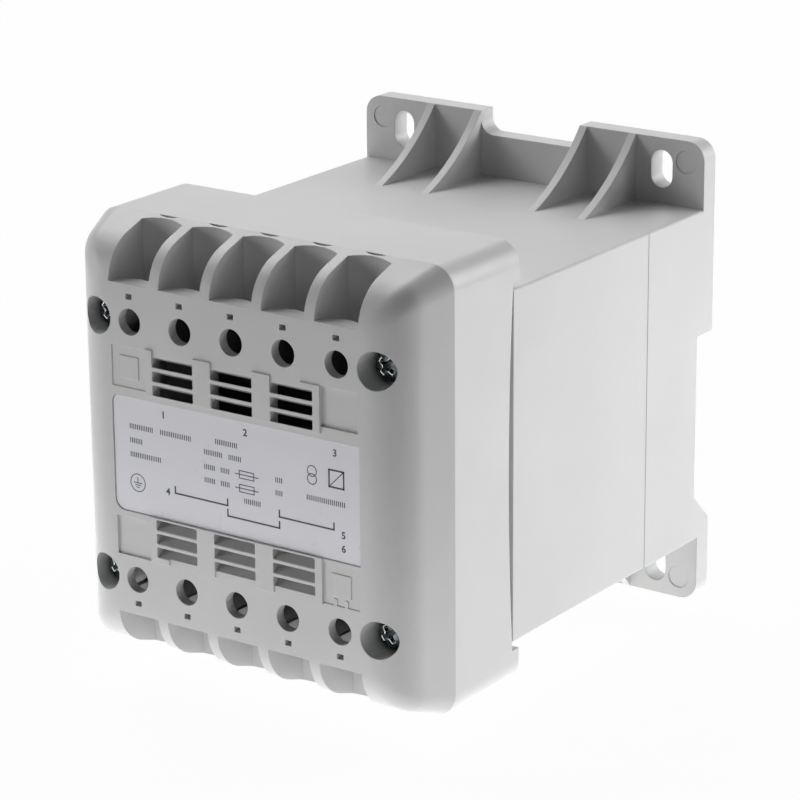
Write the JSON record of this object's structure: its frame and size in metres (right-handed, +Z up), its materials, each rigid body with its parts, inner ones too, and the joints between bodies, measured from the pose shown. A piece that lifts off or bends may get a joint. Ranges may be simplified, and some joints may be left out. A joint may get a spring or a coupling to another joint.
{
  "type": "din rail transformer",
  "caption": "Boxed mains transformer with screw terminals in wire bays, louvred vents, slotted ears and a sprung latch for a 35 mm rail.",
  "frame": {"origin": "centre of the rear mounting plane, midway between the four ear slots", "axes": "+X to the right seen from the front, +Y to the rear, +Z up; the terminals face -Y"},
  "size_m": [0.0852, 0.1087, 0.1],
  "materials": {
    "casing_plastic": "fine grained light grey moulding",
    "cover_plastic": "fine grained light grey moulding",
    "label_film": "printed film, pale lilac",
    "screw_steel": "zinc plated",
    "lamination_steel": "varnished sheet edges",
    "bobbin_plastic": "black moulding",
    "copper_wire": "enamelled wire",
    "insulation_film": "yellow film",
    "tape_film": "black tape",
    "block_plastic": "light grey moulding",
    "terminal_brass": "plated",
    "lead_sleeve": "red sleeve",
    "earth_sleeve": "green and yellow sleeve",
    "latch_plastic": "black moulding",
    "spring_steel": "drawn wire"
  },
  "bodies": {
    "transformer": {"casing": "casing_plastic", "front_cover": "cover_plastic", "rating_label": "label_film", "cover_screws": "screw_steel", "pillar_bolts": "screw_steel", "pillar_washers": "screw_steel", "e_laminations": "lamination_steel", "i_laminations": "lamination_steel", "coil_bobbin": "bobbin_plastic", "primary_winding": "copper_wire", "winding_insulation": "insulation_film", "secondary_winding": "copper_wire", "coil_tape": "tape_film", "winding_pins": "terminal_brass", "upper_terminal_block": "block_plastic", "lower_terminal_block": "block_plastic", "upper_terminal_screws": "screw_steel", "lower_terminal_screws": "screw_steel", "upper_clamp_washers": "screw_steel", "lower_clamp_washers": "screw_steel", "upper_contact_bars": "terminal_brass", "lower_contact_bars": "terminal_brass", "upper_leads": "lead_sleeve", "lower_leads": "lead_sleeve", "earth_lug": "screw_steel", "earth_lead": "earth_sleeve", "latch_spring": "spring_steel"},
    "latch": {"rail_latch": "latch_plastic"}
  },
  "joints": [
    {"name": "latch_slide", "type": "slide", "parent": "transformer", "child": "latch", "axis": [0, 0, -1], "range_m": [0, 0.003], "stiffness_N_per_m": 900, "springref_m": -0.002, "deforming": ["latch_spring"]}
  ]
}
